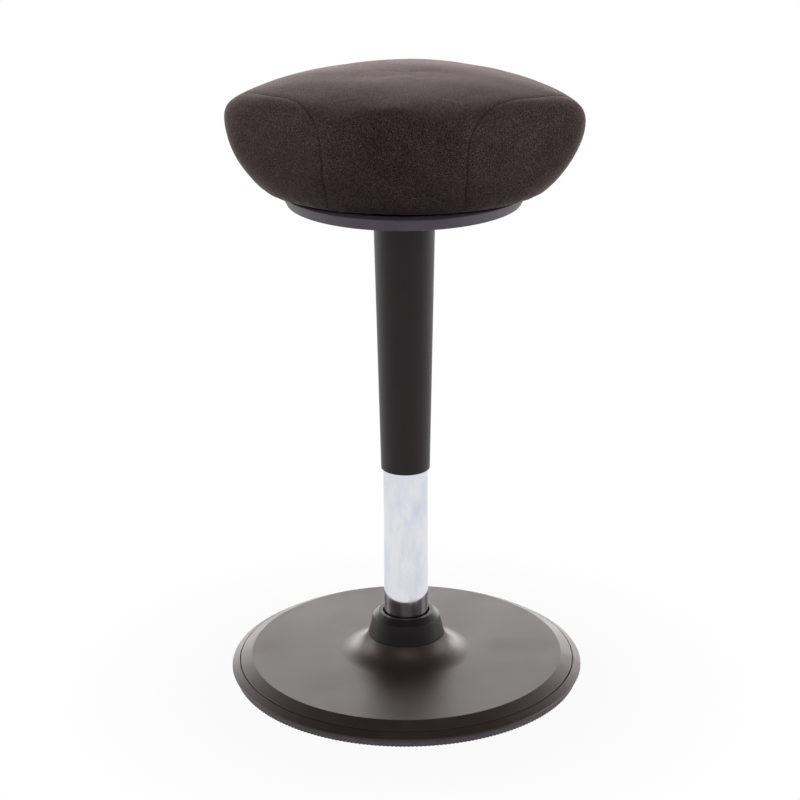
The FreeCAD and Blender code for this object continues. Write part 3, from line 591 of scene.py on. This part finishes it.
def cushion_foam():
    """The moulded foam under the cover, closed below round the board's bed."""
    low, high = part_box("seat_board")
    bed_x, bed_y = high.x + bed_fit, high.y + bed_fit
    grid = cushion_grid(foam_around, foam_down, foam_inset, bed_x, bed_y) + (0, 0, cushion_mid)
    grid[..., 2] = np.maximum(grid[..., 2], low.z + bed_fit)
    angle = np.arctan2(grid[-1, :, 1] / bed_y, grid[-1, :, 0] / bed_x)
    edge_z = np.full(foam_around, low.z + bed_fit)
    edge = np.stack([bed_x * np.cos(angle), bed_y * np.sin(angle), edge_z], axis=1)
    top = edge * (1, 1, 0) + (0, 0, high.z + bed_fit)
    grid = np.concatenate([grid, [edge, top]])
    verts, faces = capped(grid)
    last = len(verts) - foam_around
    verts = np.vstack([verts, (0, 0, high.z + bed_fit)])
    faces += [(last + (k + 1) % foam_around, last + k, len(verts) - 1) for k in range(foam_around)]
    piece = new_piece("cushion_foam", verts, faces, "foam", "seat")
    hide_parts("foam_core")


def sole_tread():
    """Fine radial ribs round the edge of the rubber sole, where it rolls on the floor."""
    low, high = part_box("sole_pad")

    def dome_z(r):
        return sole_curve - math.sqrt(sole_curve ** 2 - (r - sole_flat_r) ** 2)

    edge_r = high.x
    top_z = high.z - tread_bury
    radii = np.linspace(tread_low_r, edge_r, 10)
    outline = [(r, dome_z(r), 0.0, -1.0) for r in radii[:-1]]
    outline.append((edge_r, dome_z(edge_r), 0.7, -0.7))
    outline += [(edge_r, z, 1.0, 0.0) for z in np.linspace(dome_z(edge_r), top_z, 6)[1:]]
    columns = tread_ribs * tread_points
    turn = np.linspace(0, 2 * math.pi, columns, endpoint=False)
    wave = 0.5 - 0.5 * np.cos(turn * tread_ribs)
    rows = []
    for k, (r, z, out_r, out_z) in enumerate(outline):
        fade = min(1.0, k / 2, (len(outline) - 1 - k) / 2)
        lift = tread_depth * wave * fade - tread_bury * (fade == 0)
        reach = r + out_r * lift
        rows.append(np.stack([reach * np.cos(turn), reach * np.sin(turn), z + out_z * lift], axis=1))
    for r, z, out_r, out_z in reversed(outline[1:-1]):
        reach = r - out_r * 2 * tread_bury
        back_z = np.full(columns, z - out_z * 2 * tread_bury)
        rows.append(np.stack([reach * np.cos(turn), reach * np.sin(turn), back_z], axis=1))
    count = len(rows)
    faces = [tuple((i % (count * columns)) for i in face) for face in grid_faces(count + 1, columns)]
    new_piece("sole_tread", np.vstack(rows), [face[::-1] for face in faces], "sole_rubber", "base")


# Stage, light and camera
floor_white = 0.95          # share of plain white in the floor as the camera and gloss see it
shadow_start = 0.2          # inside this distance from the axis the floor shows its shadow
shadow_reach = 0.45         # and from here outwards it is plain white
floor_half = 30.0
floor_colour = (0.3, 0.3, 0.303)


def stage():
    """A wide floor: matte for light that bounces, and near white where the camera or gloss sees it."""
    mesh = bpy.data.meshes.new("floor")
    mesh.from_pydata([(-floor_half, -floor_half, 0), (floor_half, -floor_half, 0), (floor_half, floor_half, 0),
                      (-floor_half, floor_half, 0)], [], [(0, 1, 2, 3)])
    floor = bpy.data.objects.new("floor", mesh)
    floor.location.z = -0.0004
    bpy.context.scene.collection.objects.link(floor)
    material = bpy.data.materials.new("floor_white")
    material.use_nodes = True
    tree = material.node_tree
    tree.nodes.clear()
    matte = tree.nodes.new("ShaderNodeBsdfDiffuse")
    matte.inputs["Color"].default_value = (*floor_colour, 1)
    white = tree.nodes.new("ShaderNodeEmission")
    path = tree.nodes.new("ShaderNodeLightPath")
    mix = tree.nodes.new("ShaderNodeMixShader")
    output = tree.nodes.new("ShaderNodeOutputMaterial")
    either = tree.nodes.new("ShaderNodeMath")
    either.operation = "MAXIMUM"
    share = tree.nodes.new("ShaderNodeMath")
    share.operation = "MULTIPLY"
    place = tree.nodes.new("ShaderNodeTexCoord")
    away = tree.nodes.new("ShaderNodeVectorMath")
    away.operation = "LENGTH"
    reach = tree.nodes.new("ShaderNodeMapRange")
    reach.interpolation_type = "SMOOTHSTEP"
    reach.inputs["From Min"].default_value = shadow_start
    reach.inputs["From Max"].default_value = shadow_reach
    reach.inputs["To Min"].default_value = floor_white
    tree.links.new(place.outputs["Object"], away.inputs[0])
    tree.links.new(away.outputs["Value"], reach.inputs["Value"])
    tree.links.new(reach.outputs["Result"], share.inputs[1])
    tree.links.new(path.outputs["Is Camera Ray"], either.inputs[0])
    tree.links.new(path.outputs["Is Glossy Ray"], either.inputs[1])
    tree.links.new(either.outputs[0], share.inputs[0])
    tree.links.new(share.outputs[0], mix.inputs[0])
    tree.links.new(matte.outputs[0], mix.inputs[1])
    tree.links.new(white.outputs[0], mix.inputs[2])
    tree.links.new(mix.outputs[0], output.inputs[0])
    mesh.materials.append(material)


def world():
    """White studio walls with a darker ceiling, brighter behind the object than in front."""
    sky = bpy.data.worlds.new("studio")
    bpy.context.scene.world = sky
    sky.use_nodes = True
    tree = sky.node_tree
    background = tree.nodes["Background"]
    place = tree.nodes.new("ShaderNodeTexCoord")
    parts = tree.nodes.new("ShaderNodeSeparateXYZ")
    tree.links.new(place.outputs["Generated"], parts.inputs[0])
    height = tree.nodes.new("ShaderNodeMapRange")
    height.interpolation_type = "SMOOTHSTEP"
    height.inputs["From Min"].default_value = 0.35
    height.inputs["From Max"].default_value = 0.80
    height.inputs["To Min"].default_value = 0.8
    height.inputs["To Max"].default_value = 0.08
    tree.links.new(parts.outputs["Z"], height.inputs["Value"])
    depth = tree.nodes.new("ShaderNodeMapRange")
    depth.interpolation_type = "SMOOTHSTEP"
    depth.inputs["From Min"].default_value = -0.9
    depth.inputs["From Max"].default_value = 0.1
    depth.inputs["To Min"].default_value = 0.25
    depth.inputs["To Max"].default_value = 1.0
    tree.links.new(parts.outputs["Y"], depth.inputs["Value"])
    product = tree.nodes.new("ShaderNodeMath")
    product.operation = "MULTIPLY"
    tree.links.new(height.outputs["Result"], product.inputs[0])
    tree.links.new(depth.outputs["Result"], product.inputs[1])
    seen = tree.nodes.new("ShaderNodeLightPath")
    brightest = tree.nodes.new("ShaderNodeMath")
    brightest.operation = "MAXIMUM"
    tree.links.new(product.outputs[0], brightest.inputs[0])
    tree.links.new(seen.outputs["Is Camera Ray"], brightest.inputs[1])
    tree.links.new(brightest.outputs[0], background.inputs["Strength"])
    background.inputs["Color"].default_value = (1, 1, 1, 1)


def lamp(name, place, target, size, power):
    """A soft rectangular lamp that the camera doesn't see. size in metres, power in watts."""
    light = bpy.data.lights.new(name, "AREA")
    light.shape = "RECTANGLE"
    light.size, light.size_y = size
    light.energy = power
    piece = bpy.data.objects.new(name, light)
    piece.location = place
    piece.rotation_euler = (Vector(target) - Vector(place)).to_track_quat("-Z", "Y").to_euler()
    piece.visible_camera = False
    bpy.context.scene.collection.objects.link(piece)


def lamps():
    """Two wide panels behind the object, the lower one brighter, and soft lamps at its sides and front."""
    lamp("back_low", (0, 3.2, 0.5), (0, 0, 0.5), (5.2, 1.0), 84)
    lamp("back_high", (0, 3.2, 1.65), (0, 0, 0.6), (4.8, 1.3), 33)
    lamp("left_soft", (-2.8, 1.0, 0.9), (0, 0, 0.4), (1.6, 1.8), 30)
    lamp("right_soft", (2.8, 1.0, 0.9), (0, 0, 0.4), (1.6, 1.8), 28)
    lamp("front_soft", (0.3, -3.0, 2.6), (0, 0, 0.4), (3.0, 1.8), 30)


def camera():
    """The photograph's camera, which looks down a little and is turned to the right."""
    data = bpy.data.cameras.new("camera")
    data.sensor_width = sensor_mm
    data.lens = sensor_mm * focal_px / photo_px
    data.clip_start, data.clip_end = 0.1, 100
    piece = bpy.data.objects.new("camera", data)
    piece.location = (camera_far * math.sin(camera_turn), -camera_far * math.cos(camera_turn), camera_high)
    look = Euler((math.pi / 2 - camera_down, 0, camera_turn + camera_aside), "XYZ").to_matrix()
    roll = Euler((0, 0, camera_roll), "XYZ").to_matrix()
    piece.rotation_euler = (look @ roll).to_euler()
    bpy.context.scene.collection.objects.link(piece)
    bpy.context.scene.camera = piece


finish_cad_nodes()
cushion_cover()
cushion_foam()
sole_tread()
stage()
world()
lamps()
camera()
bpy.context.scene.view_settings.view_transform = "Standard"
